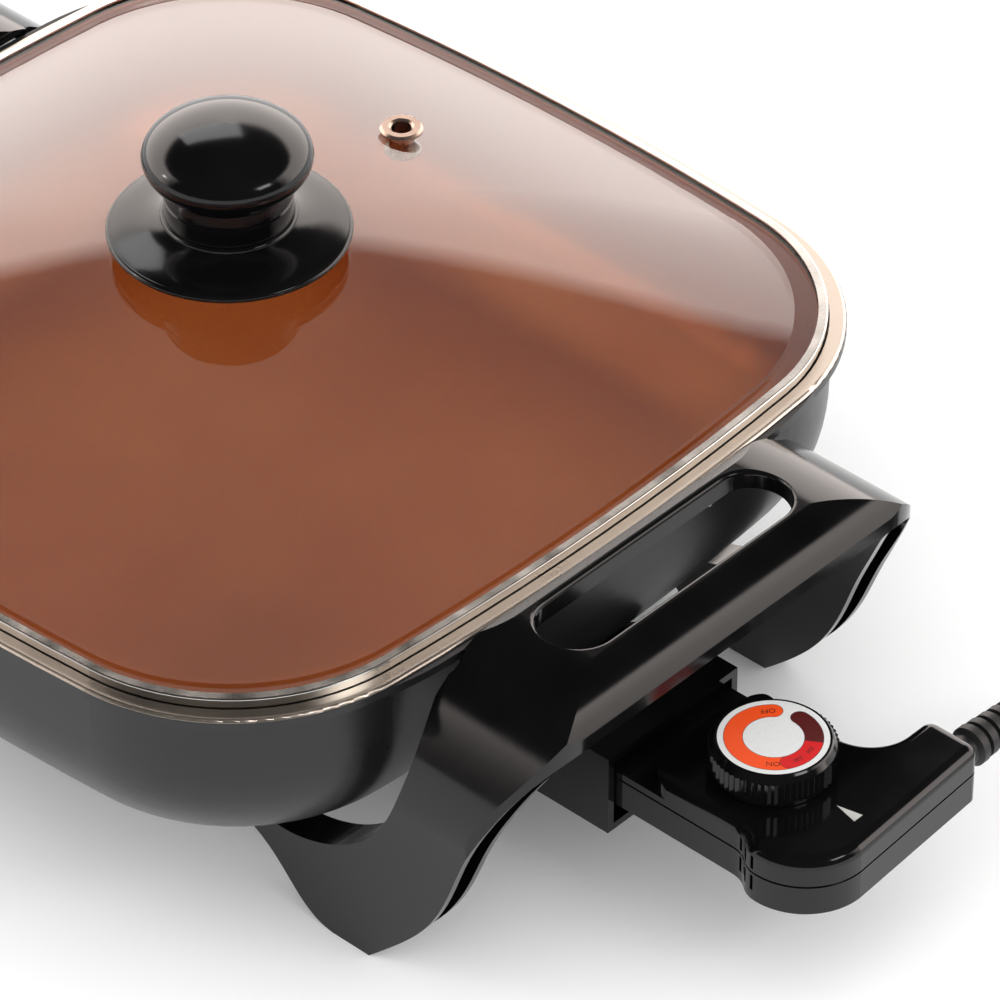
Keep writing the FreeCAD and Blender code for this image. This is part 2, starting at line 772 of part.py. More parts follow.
# Heat control: an L-shaped housing in two halves round the thermostat
def controlPlan(z, trim):
    left = -noseHalf + trim
    right = bodyRightX - trim
    front = controlFrontY + trim
    tip = noseTipY - trim
    end = tailEndX - trim
    inner = tailInnerY - trim
    fat = left - flare
    r = flareEndY - front
    f = tailFillet
    lean = 1 - math.sin(math.pi / 4)

    def at(x, y):
        return (x, y, z)
    rise = flareStartY - flareEndY
    bend = (flare ** 2 + rise ** 2) / (4 * flare)
    part = math.asin(rise / 2 / bend) / 2
    inset = bend * (1 - math.cos(part))
    along = bend * math.sin(part)
    middle = ((left + fat) / 2, (flareStartY + flareEndY) / 2)
    outline = [
        ("line", [at(noseHalf - trim, tip), at(left, tip), at(left, flareStartY)]),
        ("arc", [at(left, flareStartY), at(left - inset, flareStartY - along), at(*middle)]),
        ("arc", [at(*middle), at(fat + inset, flareEndY + along), at(fat, flareEndY)]),
        ("arc", [at(fat, flareEndY), at(fat + r * lean, front + r * lean), at(fat + r, front)]),
        ("line", [at(fat + r, front), at(end - 4, front + 3.2)]),
        ("arc", [at(end - 4, front + 3.2), at(end - 1.0, front + 4.4), at(end, front + 7.2)]),
        ("line", [at(end, front + 7.2), at(end, inner - 4)]),
        ("arc", [at(end, inner - 4), at(end - 1.2, inner - 1.2), at(end - 4, inner)]),
        ("line", [at(end - 4, inner), at(right + f, inner)]),
        ("arc", [at(right + f, inner), at(right + f * lean, inner + f * lean),
                 at(right, inner + f)]),
        ("line", [at(right, inner + f), at(right, -196.0), at(noseHalf - trim, -193.0),
                  at(noseHalf - trim, tip)]),
    ]
    return Part.Face(chain(outline))


def deckStep(trim, top):
    x = noseHalf - trim
    r = 8.0
    y = deckStepY - trim
    lean = r * math.sin(math.pi / 4)
    front = controlFrontY - 20

    def at(px, py):
        return (px, py, partingZ - 30)
    outline = [
        ("line", [at(-60, front), at(-60, y - r), at(-x, y - r)]),
        ("arc", [at(-x, y - r), at(-x + r - lean, y - r + lean), at(-x + r, y)]),
        ("line", [at(-x + r, y), at(x - r, y)]),
        ("arc", [at(x - r, y), at(x - r + lean, y - r + lean), at(x, y - r)]),
        ("line", [at(x, y - r), at(90, y - r), at(90, front), at(-60, front)]),
    ]
    return Part.Face(chain(outline)).extrude(vec(0, 0, top - partingZ + 30))


def controlEnvelope():
    tall = controlPlan(controlBaseZ, 0).extrude(vec(0, 0, deckZ - controlBaseZ))
    rounds = [e for e in tall.Edges if min(v.Z for v in e.Vertexes) > deckZ - 0.01
              and e.BoundBox.YMax < -150]
    tall = tall.makeFillet(deckRound, [e for e in rounds if e.BoundBox.YMin < -194
                                       or e.BoundBox.XMax - e.BoundBox.XMin < 1])
    low = box(-60, 90, controlFrontY - 20, noseTipY + 1, controlBaseZ - 1, noseTopZ)
    return tall.common(fuse([deckStep(0, deckZ + 1), low]))


def controlHollow():
    t = controlWall
    main = controlPlan(controlBaseZ + t, t).extrude(vec(0, 0, deckZ - controlBaseZ - 2 * t))
    main = main.common(deckStep(t, deckZ))
    nose = box(-noseHalf + t, noseHalf - t, -196, noseTipY - receptacleLength - 1,
               controlBaseZ + t, noseTopZ - t)
    return fuse([main, nose])


def ventSlots():
    cuts = []
    for step in range(3):
        y = flareStartY - 3.6 - step * ventSlotPitch
        for low, high in ((controlBaseZ + 3.4, partingZ - 1.2), (partingZ + 1.2, partingZ + 6.0)):
            cuts.append(box(-36, -noseHalf + controlWall + 0.6, y - ventSlotWidth / 2,
                            y + ventSlotWidth / 2, low, high))
    return cuts


def controlBores():
    cuts = [rod(pinRadius + receptacleWall, (sx * pinSpacing / 2, noseTipY + 1, elementZ),
                (sx * pinSpacing / 2, noseTipY - receptacleLength - 2, elementZ))
            for sx in (-1, 1)]
    cuts.append(rod(probeRadius, (0, noseTipY + 1, probeZ), (0, noseTipY - receptacleLength - 6, probeZ)))
    cuts.append(rod(4.8, (tailEndX + 1, cordRimY, cordExitZ), (tailEndX - 5, cordRimY, cordExitZ)))
    cuts.append(rod(shaftRadius + runningGap, (0, dialY, partingZ), (0, dialY, deckZ + 1)))
    return cuts


def housingPosts():
    spots = [(-17.0, -199.0), (17.0, -199.0), (-16.0, -238.0), (36.0, -235.5)]
    return [rod(3.2, (x, y, controlBaseZ + 0.5), (x, y, deckZ - 1.5)) for x, y in spots], spots


# The shallow groove that marks the joint between the two halves
def partingGroove():
    low = partingZ - 0.35
    band = controlPlan(low, -0.5).extrude(vec(0, 0, 0.7))
    band = band.cut(controlPlan(low, 0.4).extrude(vec(0, 0, 0.7)))
    return band.common(box(-60, 90, controlFrontY - 20, guardFrontY - 0.5, low - 1, low + 2))


def controlShell():
    shell = controlEnvelope().cut(controlHollow())
    posts, spots = housingPosts()
    shell = fuse([shell] + [p.common(controlEnvelope()) for p in posts])
    drills = [rod(smallScrewRadius, (x, y, controlBaseZ - 1), (x, y, partingZ + 6)) for x, y in spots]
    drills += [rod(smallScrewRadius * headRatio, (x, y, controlBaseZ - 1),
                   (x, y, controlBaseZ + 2)) for x, y in spots]
    return shell.cut(controlBores() + ventSlots() + drills + [partingGroove()])


def controlLower():
    return controlShell().common(box(-60, 90, controlFrontY - 20, noseTipY + 1, controlBaseZ - 1, partingZ))


def pointerMark():
    tip = dialY - 24.0
    outline = [vec(0, tip, deckZ - 0.3), vec(-1.8, tip - 8, deckZ - 0.3),
               vec(1.8, tip - 8, deckZ - 0.3), vec(0, tip, deckZ - 0.3)]
    return Part.Face(Part.makePolygon(outline)).extrude(vec(0, 0, 0.5))


def controlUpper():
    upper = controlShell().common(box(-60, 90, controlFrontY - 20, noseTipY + 1, partingZ, deckZ + 2))
    return upper.cut(pointerMark())


def controlPointer():
    return pointerMark().common(box(-60, 90, -280, -140, partingZ, deckZ + 0.1))


def controlScrews():
    screws = []
    for x, y in housingPosts()[1]:
        base = controlBaseZ + 2
        head = rod(smallScrewRadius * headRatio, (x, y, base - 1.4), (x, y, base))
        slot = box(x - 2, x + 2, y - 0.4, y + 0.4, base - 1.4, base - 0.8)
        shank = rod(smallScrewRadius, (x, y, base - 0.1), (x, y, partingZ + 6))
        screws.append(fuse([head, shank]).cut(slot))
    return Part.makeCompound(screws)


def receptacles():
    tubes = []
    for sx in (-1, 1):
        x = sx * pinSpacing / 2
        outer = rod(pinRadius + receptacleWall, (x, noseTipY, elementZ),
                    (x, noseTipY - receptacleLength - 2, elementZ))
        tubes.append(outer.cut(rod(pinRadius + runningGap, (x, noseTipY + 1, elementZ),
                                   (x, noseTipY - receptacleLength, elementZ))))
    return Part.makeCompound(tubes)


def sensorProbe():
    back = noseTipY - receptacleLength - 2 - 3
    stem = rod(probeRadius, (0, back, probeZ), (0, probeTipY - 1, probeZ))
    return stem.makeFillet(1.6, [e for e in stem.Edges if e.BoundBox.YMin > probeTipY - 1.1])


def thermostatFrame():
    base = controlBaseZ + controlWall
    block = box(-9, 9, -202, noseTipY - receptacleLength - 5, base, probeZ + 4.0)
    shoe = box(-9, 9, -221, -202, base, base + 2.0)
    return fuse([block, shoe]).cut(rod(probeRadius, (0, noseTipY - 29, probeZ),
                                       (0, noseTipY - receptacleLength - 5, probeZ)))


def contactBlades():
    base = controlBaseZ + controlWall + 2.0
    strips = []
    for sx in (-1, 1):
        foot = box(sx * 5 - 1.6, sx * 5 + 1.6, -220, -214, base, base + 0.5)
        riser = box(sx * 5 - 1.6, sx * 5 + 1.6, -214.5, -214, base, base + 6.0)
        arm = box(sx * 5 - 1.6, sx * 5 + 1.6, -214.5, -205, base + 5.5, base + 6.0)
        strips.append(fuse([foot, riser, arm]))
    return Part.makeCompound(strips)


# Dial: toothed skirt, sunk label and a spindle whose collar bears under the deck
def dialBody():
    low = deckZ + dialGap
    rim = dialTopZ
    ring = []
    for step in range(dialTeeth * 2):
        radius = dialSkirtRadius - (toothDepth if step % 2 else 0)
        angle = math.pi * step / dialTeeth
        ring.append(vec(radius * math.cos(angle), dialY + radius * math.sin(angle), low + 2.2))
    skirt = Part.Face(Part.makePolygon(ring + ring[:1])).extrude(vec(0, 0, rim - low - 4.4))
    foot = revolved([(0, low), (dialSkirtRadius - 1.6, low), (dialSkirtRadius - 1.6, low + 2.2),
                     (0, low + 2.2)], 0, dialY)
    crown = revolved([(0, rim - 2.2), (dialSkirtRadius - toothDepth - 0.1, rim - 2.2),
                      (dialTopRadius + 0.3, rim - 0.5), (dialTopRadius - 0.2, rim), (0, rim)],
                     0, dialY)
    body = fuse([skirt, foot, crown])
    recess = rod(dialLabelRadius, (0, dialY, rim - dialLabelThick), (0, dialY, rim + 1))
    hollow = rod(dialSkirtRadius - 4.0, (0, dialY, low - 1), (0, dialY, rim - 3.4))
    hub = rod(6.0, (0, dialY, low), (0, dialY, rim - 3.0))
    socket = rod(shaftRadius, (0, dialY, low - 1), (0, dialY, rim - 3.4))
    return body.cut([recess, hollow]).fuse(hub).cut(socket).removeSplitter()


def dialLabel():
    return rod(dialLabelRadius, (0, dialY, dialTopZ - dialLabelThick), (0, dialY, dialTopZ))


def dialSpindle():
    under = deckZ - controlWall
    stem = rod(shaftRadius, (0, dialY, under - 5.0), (0, dialY, dialTopZ - 3.4))
    collar = rod(6.5, (0, dialY, under - 0.05), (0, dialY, under - 1.6))
    cam = rod(4.6, (1.2, dialY, under - 3.2), (1.2, dialY, under - 1.6))
    return fuse([stem, collar, cam])


# Ribbed strain relief gripped by the housing's end
def strainRelief():
    x = tailEndX
    profile = [(0, x - 4.8), (4.8, x - 4.8), (4.8, x + 6.0)]
    span = reliefLength - 8.0
    for rib in range(reliefRibs):
        start = x + 7.0 + rib * span / reliefRibs
        radius = 6.3 - 0.3 * rib
        groove = max(radius - 1.5, cordRadius + 0.7)
        pitch = span / reliefRibs
        profile += [(radius, start), (radius, start + pitch * 0.6),
                    (groove, start + pitch * 0.75), (groove, start + pitch * 0.97)]
    profile += [(cordRadius + 0.7, x + reliefLength), (0, x + reliefLength)]
    points = [vec(px, cordRimY + r, cordExitZ) for r, px in profile + profile[:1]]
    solid = Part.Face(Part.makePolygon(points)).revolve(vec(0, cordRimY, cordExitZ), vec(1, 0, 0), 360)
    bore = rod(cordRadius, (x + 12, cordRimY, cordExitZ), (x + reliefLength + 1, cordRimY, cordExitZ))
    return solid.cut(bore)


def cordRoute():
    start = tailEndX + 12.0
    y = cordRimY
    low = cordRadius
    cx, cy = coilCentre
    top = cy + coilRadius(0)
    return [(start, y, cordExitZ), (start + 43, y, cordExitZ), (start + 74, y, low + 10.5),
            (start + 100, y, low), (cx - coilHead, top, low)]


def coilRadius(turn):
    return coilInner + coilStep * abs(turn - coilTurns / 2)


def coilPoint(turn):
    cx, cy = coilCentre
    angle = math.pi / 2 - 2 * math.pi * turn
    rise = min(max(turn - coilTurns / 2 + 0.25, 0.0), 0.5) / 0.5
    height = cordRadius + coilStep * (0.5 - 0.5 * math.cos(math.pi * rise))
    return vec(cx + coilRadius(turn) * math.cos(angle), cy + coilRadius(turn) * math.sin(angle), height)


def coilTangent(turn):
    step = 0.02
    if turn < step or turn > coilTurns - step:
        angle = math.pi / 2 - 2 * math.pi * turn
        return vec(math.sin(angle), -math.cos(angle), 0)
    return (coilPoint(turn + step) - coilPoint(turn - step)).normalize()


# Two arcs that meet smoothly between two points with given directions
def biarc(p0, t0, p1, t1):
    chord = p1 - p0
    total = t0 + t1
    a = 2 * (1 - t0.dot(t1))
    b = 2 * chord.dot(total)
    c = -chord.dot(chord)
    reach = -c / b if abs(a) < 1e-9 else (-b + math.sqrt(b * b - 4 * a * c)) / (2 * a)
    q0 = p0 + t0 * reach
    q1 = p1 - t1 * reach
    middle = (q0 + q1) * 0.5
    edges = []
    for start, way, end in ((p0, t0, middle), (p1, t1 * -1, middle)):
        corner = start + way * reach
        half = (start - corner).getAngle(end - corner) / 2
        radius = reach * math.tan(half)
        inward = ((start - corner).normalize() + (end - corner).normalize()).normalize()
        bulge = corner + inward * (radius / math.sin(half) - radius)
        first, last = (start, end) if start is p0 else (end, start)
        edges.append(Part.Arc(first, bulge, last).toShape())
    return edges


def cordCoil():
    count = int(coilTurns * 4)
    turns = [i * coilTurns / count for i in range(count + 1)]
    start = coilPoint(0)
    end = coilPoint(coilTurns)
    edges = [Part.LineSegment(start - coilTangent(0) * coilHead, start).toShape()]
    for a, b in zip(turns, turns[1:]):
        edges += biarc(coilPoint(a), coilTangent(a), coilPoint(b), coilTangent(b))
    edges.append(Part.LineSegment(end, end + coilTangent(coilTurns) * coilTail).toShape())
    path = Part.Wire(edges)
    print("coil length", round(path.Length, 1), "least gap to itself", round(selfGap(path), 2))
    return pipe(path, cordRadius)


def selfGap(path):
    points = path.discretize(Distance=4.0)
    least = 1e9
    for i, p in enumerate(points):
        for q in points[i + 12:]:
            least = min(least, p.distanceToPoint(q))
    return least - 2 * cordRadius


def cordLead():
    route = cordRoute()
    radii = []
    for a, b, c in zip(route, route[1:], route[2:]):
        back = vec(*a) - vec(*b)
        on = vec(*c) - vec(*b)
        turn = math.pi - back.getAngle(on)
        radii.append(0.45 * min(back.Length, on.Length) / math.tan(turn / 2))
    print("cord arcs", [round(r, 1) for r in radii])
    path = roundedPath(route, radii)
    print("cord lead length", round(path.Length, 1))
    return pipe(path, cordRadius)


def plugPlace():
    end = coilPoint(coilTurns)
    return end.x - coilTail, end.y, end.z


def plugBody():
    x, y, z = plugPlace()
    half = plugWidth / 2
    tall = z
    outline = [
        ("line", [(x, y - 4.6, 0), (x, y + 4.6, 0)]),
        ("curve", [(x, y + 4.6, 0), (x - 5, y + 5.4, 0), (x - 10, y + half - 1.5, 0),
                   (x - 14, y + half, 0)]),
        ("line", [(x - 14, y + half, 0), (x - plugLength, y + half, 0),
                  (x - plugLength, y - half, 0), (x - 14, y - half, 0)]),
        ("curve", [(x - 14, y - half, 0), (x - 10, y - half + 1.5, 0), (x - 5, y - 5.4, 0),
                   (x, y - 4.6, 0)]),
    ]
    body = Part.Face(chain(outline)).extrude(vec(0, 0, 2 * tall))
    flats = [e for e in body.Edges if abs(e.BoundBox.ZMax - e.BoundBox.ZMin) < 0.01
             and e.BoundBox.XMax - e.BoundBox.XMin > 10 and e.BoundBox.XMax < x - 13]
    body = body.makeFillet(3.0, flats)
    slots = [box(x - plugLength - 1, x - plugLength + 7, y + sy * bladeGap / 2 - 0.8,
                 y + sy * bladeGap / 2 + 0.8, z - 3.2, z + 3.2) for sy in (-1, 1)]
    return body.cut(slots)


def plugBlades():
    x, y, z = plugPlace()
    blades = []
    for sy in (-1, 1):
        side = y + sy * bladeGap / 2
        blade = box(x - plugLength - bladeLength, x - plugLength + 7, side - 0.8, side + 0.8,
                    z - 3.2, z + 3.2)
        blades.append(blade.cut(rod(1.6, (x - plugLength - bladeLength + 4, side - 2, z),
                                    (x - plugLength - bladeLength + 4, side + 2, z))))
    return Part.makeCompound(blades)


frontHandle = handleMoulding()
save("front_handle_and_legs", frontHandle)
save("rear_handle_and_legs", turned(frontHandle))
save("handle_arm_screws", armScrews())
save("handle_ledge_screws", ledgeScrews())
save("pan_body", panBody())
save("ceramic_lining", ceramicLining())
save("heating_element", heatingElement())
save("terminal_pins", terminalPins())
save("terminal_pin_bushes", pinBushes())
save("sensor_sleeve", sensorSleeve())
save("socket_guard", socketGuard())
save("socket_guard_screws", guardScrews())
save("lid_glass", lidGlass())
save("lid_steel_band", lidBand())
save("steam_vent_grommet", ventGrommet())
save("lid_knob_base", knobBase())
save("lid_knob_grip", knobCap())
save("lid_knob_screw", knobScrew())
save("lid_knob_steel_washer", washer(7.5, glassUnderZ() - 1.6, glassUnderZ() - 0.8))
save("lid_knob_seal", washer(8.5, glassUnderZ() - 0.8, glassUnderZ()))
save("control_lower_housing", controlLower())
save("control_upper_housing", controlUpper())
save("control_pointer", controlPointer())
save("control_housing_screws", controlScrews())
save("contact_receptacles", receptacles())
save("sensor_probe", sensorProbe())
save("thermostat_frame", thermostatFrame())
save("thermostat_blades", contactBlades())
save("temperature_dial", dialBody())
save("dial_label", dialLabel())
save("dial_spindle", dialSpindle())
save("cord_strain_relief", strainRelief())
save("cord_lead", cordLead())
save("cord_coil", cordCoil())
save("plug_body", plugBody())
save("plug_blades", plugBlades())
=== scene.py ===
import bpy
import math
import numpy as np
from mathutils import Matrix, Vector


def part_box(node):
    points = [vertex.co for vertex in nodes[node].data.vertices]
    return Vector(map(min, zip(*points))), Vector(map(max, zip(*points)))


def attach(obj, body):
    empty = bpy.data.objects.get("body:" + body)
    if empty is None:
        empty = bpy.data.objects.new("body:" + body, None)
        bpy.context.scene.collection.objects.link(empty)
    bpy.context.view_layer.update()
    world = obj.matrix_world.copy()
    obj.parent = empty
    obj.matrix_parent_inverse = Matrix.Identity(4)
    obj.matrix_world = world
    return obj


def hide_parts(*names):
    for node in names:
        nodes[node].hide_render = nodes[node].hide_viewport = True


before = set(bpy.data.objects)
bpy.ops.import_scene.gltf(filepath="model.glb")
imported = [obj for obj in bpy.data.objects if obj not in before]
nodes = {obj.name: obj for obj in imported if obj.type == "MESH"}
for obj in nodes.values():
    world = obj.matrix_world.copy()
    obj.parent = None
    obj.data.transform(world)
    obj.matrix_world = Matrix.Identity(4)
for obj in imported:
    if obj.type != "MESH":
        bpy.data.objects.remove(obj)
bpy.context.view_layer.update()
print("frame loaded")

# a noise node's output stays mostly between these two values
noiseSpan = (0.3, 0.7)


def linearFromHex(code, alpha=1.0):
    parts = [int(code[i:i + 2], 16) / 255 for i in (0, 2, 4)]
    return [c / 12.92 if c <= 0.04045 else ((c + 0.055) / 1.055) ** 2.4 for c in parts] + [alpha]


def addNode(tree, kind, settings=None, links=None):
    # settings whose name is a socket set that socket, the others are the node's own options
    node = tree.nodes.new(kind)
    for key, value in (settings or {}).items():
        if isinstance(key, str) and hasattr(node, key) and key not in node.inputs:
            setattr(node, key, value)
        else:
            node.inputs[key].default_value = value
    for key, source in (links or {}).items():
        tree.links.new(source, node.inputs[key])
    return node


def newMaterial(name):
    material = bpy.data.materials.new(name)
    material.use_nodes = True
    tree = material.node_tree
    tree.nodes.clear()
    return material, tree


def finishMaterial(tree, shader):
    addNode(tree, "ShaderNodeOutputMaterial", None, {"Surface": shader.outputs[0]})


def dress(names, material):
    for name in names:
        slots = nodes[name].data.materials
        if len(slots) == 0:
            slots.append(material)
        for i in range(len(slots)):
            slots[i] = material


def addObject(name, data):
    item = bpy.data.objects.new(name, data)
    bpy.context.scene.collection.objects.link(item)
    return item


def placeWithAxes(item, axes, place):
    # the axes are the item's own x, y and z as they point in the frame
    rows = [[axis[i] for axis in axes] + [place[i]] for i in range(3)]
    item.matrix_world = Matrix(rows + [[0, 0, 0, 1]])


def blend(tree, source, colours):
    # runs from the first hex colour to the second over the noise's span
    node = addNode(tree, "ShaderNodeValToRGB", None, {"Fac": source})
    for element, place, code in zip(node.color_ramp.elements, noiseSpan, colours):
        element.position = place
        element.color = linearFromHex(code)
    return node.outputs[0]


def unevenSurface(tree, place, look):
    # links for a shader, from two noises: soft patches change the tone and the gloss, and a
    # fine grain lifts a bump of real height; patch and grain are their sizes in metres
    patches = addNode(tree, "ShaderNodeTexNoise",
                      {"Scale": 1 / look["patch"], "Detail": look.get("detail", 3.0)},
                      {"Vector": place})
    fine = addNode(tree, "ShaderNodeTexNoise", {"Scale": 1 / look["grain"], "Detail": 2.0},
                   {"Vector": place})
    bump = addNode(tree, "ShaderNodeBump", {"Strength": 1.0, "Distance": look["height"]},
                   {"Height": fine.outputs[0]})
    tone = blend(tree, patches.outputs[0], look["colours"])
    links = {"Base Color": tone, "Normal": bump.outputs[0]}
    if "roughness" in look:
        gloss = addNode(tree, "ShaderNodeMapRange",
                        {"From Min": noiseSpan[0], "From Max": noiseSpan[1],
                         "To Min": look["roughness"][0], "To Max": look["roughness"][1]},
                        {"Value": patches.outputs[0]})
        links["Roughness"] = gloss.outputs[0]
    return links


def surfaceFinish(name, look):
    material, tree = newMaterial(name)
    place = addNode(tree, "ShaderNodeTexCoord").outputs["Object"]
    shader = addNode(tree, "ShaderNodeBsdfPrincipled",
                     {"Metallic": look.get("metallic", 0.0), "IOR": look.get("ior", 1.5)},
                     unevenSurface(tree, place, look))
    finishMaterial(tree, shader)
    return material


# phenolic, compression moulded in a polished die: deep black with a slight orange peel
phenolicLook = {"colours": ("040405", "09090a"), "roughness": (0.09, 0.15), "patch": 0.03,
                "grain": 0.0022, "height": 0.000005, "ior": 1.42}
mouldedPhenolic = surfaceFinish("compressionMouldedPhenolic", phenolicLook)
# control housing: injection moulded, a little brighter gloss
housingLook = dict(phenolicLook, colours=("060607", "0c0c0d"), roughness=(0.07, 0.13))
mouldedHousing = surfaceFinish("injectionMouldedHousing", housingLook)
# cord jacket and strain relief: extruded soft black rubber, dull with a fine tooth
rubberLook = {"colours": ("0b0b0c", "151516"), "roughness": (0.42, 0.55), "patch": 0.02,
              "grain": 0.0008, "height": 0.00002, "ior": 1.52}
cordRubber = surfaceFinish("extrudedCordRubber", rubberLook)
# screws, pins, washer, spindle, probe and sleeve: steel, zinc plated, a soft grey shine
platedLook = {"colours": ("a9aaa8", "c4c4c0"), "roughness": (0.22, 0.34), "patch": 0.004,
              "grain": 0.0005, "height": 0.000004, "metallic": 1.0}
platedSteel = surfaceFinish("zincPlatedSteel", platedLook)
# lid band: rolled stainless strip, polished bright, with a faint grain
stainlessLook = {"colours": ("cdcac5", "dddad5"), "roughness": (0.1, 0.18), "patch": 0.012,
                 "grain": 0.0009, "height": 0.000003, "metallic": 1.0}
polishedStainless = surfaceFinish("polishedStainlessStrip", stainlessLook)
# contacts and blades: brass, drawn and tumbled, a broken yellow shine
brassLook = {"colours": ("b08d4a", "c9a860"), "roughness": (0.22, 0.33), "patch": 0.005,
             "grain": 0.0006, "height": 0.000004, "metallic": 1.0}
drawnBrass = surfaceFinish("drawnBrass", brassLook)
# bushes and thermostat frame: steatite, pressed and fired, chalky white
steatiteLook = {"colours": ("d8d2c4", "e6e1d6"), "roughness": (0.45, 0.6), "patch": 0.006,
                "grain": 0.0007, "height": 0.00002, "ior": 1.6}
firedSteatite = surfaceFinish("firedSteatite", steatiteLook)
# element sheath: bright steel gone straw and blue near the heat
sheathLook = {"colours": ("6f675c", "8d857a"), "roughness": (0.3, 0.45), "patch": 0.01,
              "grain": 0.0008, "height": 0.00001, "metallic": 1.0}
heatedSheath = surfaceFinish("heatTintedSheath", sheathLook)
# steam vent: pressed steel eyelet, left as it comes from the press, a little warm from heat
ventLook = {"colours": ("a38d80", "b7a092"), "roughness": (0.24, 0.34), "patch": 0.003,
            "grain": 0.0005, "height": 0.000004, "metallic": 1.0}
pressedVent = surfaceFinish("pressedVentSteel", ventLook)
# knob seal: moulded silicone rubber, dull and dark grey
sealLook = {"colours": ("1b1b1c", "242425"), "roughness": (0.5, 0.6), "patch": 0.01,
            "grain": 0.0009, "height": 0.00001, "ior": 1.45}
siliconeSeal = surfaceFinish("mouldedSiliconeSeal", sealLook)


# pan outside: sprayed and baked satin paint over cast aluminium, with the rim turned bare
panLook = {"colours": ("131314", "1b1b1c"), "roughness": (0.27, 0.34), "patch": 1 / 22,
           "grain": 1 / 900, "height": 0.00002, "bare": "cabfb3", "bareFrom": 0.1052}


def castPanFinish(look):
    material, tree = newMaterial("bakedSatinPaintOverCasting")
    place = addNode(tree, "ShaderNodeTexCoord").outputs["Object"]
    links = unevenSurface(tree, place, look)
    axes = addNode(tree, "ShaderNodeSeparateXYZ", None, {"Vector": place})
    high = addNode(tree, "ShaderNodeMath", {"operation": "GREATER_THAN", 1: look["bareFrom"]},
                   {0: axes.outputs["Z"]})
    colour = addNode(tree, "ShaderNodeMix", {"data_type": "RGBA", 7: linearFromHex(look["bare"])},
                     {0: high.outputs[0], 6: links["Base Color"]})
    links["Base Color"] = colour.outputs[2]
    links["Metallic"] = high.outputs[0]
    finishMaterial(tree, addNode(tree, "ShaderNodeBsdfPrincipled", {"IOR": 1.43}, links))
    return material


# lining: sprayed copper-pigmented ceramic, mica flakes under a clear hard top; the flakes are
# drawn larger than they are, and each covers a part of its spot
liningLook = {"colours": ("a64a18", "b45a24"), "patch": 1 / 14, "detail": 4.0, "grain": 1 / 1300,
              "height": 0.000004, "fleck": "dc8848", "fleckSpacing": 1 / 700, "fleckSize": 0.16,
              "fleckCover": 0.35}


def copperCeramicFinish(look):
    material, tree = newMaterial("sprayedCopperCeramic")
    place = addNode(tree, "ShaderNodeTexCoord").outputs["Object"]
    links = unevenSurface(tree, place, look)
    mica = addNode(tree, "ShaderNodeTexVoronoi", {"Scale": 1 / look["fleckSpacing"]},
                   {"Vector": place})
    spots = addNode(tree, "ShaderNodeMath", {"operation": "LESS_THAN", 1: look["fleckSize"]},
                    {0: mica.outputs["Distance"]})
    soft = addNode(tree, "ShaderNodeMath", {"operation": "MULTIPLY", 1: look["fleckCover"]},
                   {0: spots.outputs[0]})
    colour = addNode(tree, "ShaderNodeMix",
                     {"data_type": "RGBA", 7: linearFromHex(look["fleck"])},
                     {0: soft.outputs[0], 6: links["Base Color"]})
    links["Base Color"] = colour.outputs[2]
    shader = addNode(tree, "ShaderNodeBsdfPrincipled",
                     {"Metallic": 0.55, "Roughness": 0.42, "IOR": 1.3}, links)
    finishMaterial(tree, shader)
    return material


# lid: toughened soda-lime glass, clear with a trace of green, in long shallow waves
glassLook = {"colour": "f7fbf8", "wave": 1 / 12, "height": 0.000006}


def clearGlassFinish(look):
    material, tree = newMaterial("toughenedClearGlass")
    place = addNode(tree, "ShaderNodeTexCoord").outputs["Object"]
    wave = addNode(tree, "ShaderNodeTexNoise", {"Scale": 1 / look["wave"], "Detail": 0.0},
                   {"Vector": place})
    bump = addNode(tree, "ShaderNodeBump", {"Strength": 1.0, "Distance": look["height"]},
                   {"Height": wave.outputs[0]})
    shader = addNode(tree, "ShaderNodeBsdfPrincipled",
                     {"Base Color": linearFromHex(look["colour"]), "Roughness": 0.0, "IOR": 1.5,
                      "Transmission Weight": 1.0}, {"Normal": bump.outputs[0]})
    finishMaterial(tree, shader)
    return material


# dial label: screen printed disc, flat inks under a clear varnish; each band is a line round
# the disc thickened to round ends, given by its ink, its start and end in degrees from the
# frame's +X, and whether its end is cut straight
labelLook = {"centre": (0.0, -0.186), "radius": 0.01155, "half": 0.00265, "outline": 0.00016,
             "disc": ("d2d2d0", "d8d8d7"), "mottle": 1 / 900, "line": "3a1210",
             "bands": [("e84a0e", 41, 244, False), ("521010", 290, 360, False),
                       ("c81418", 244, 303, True)]}


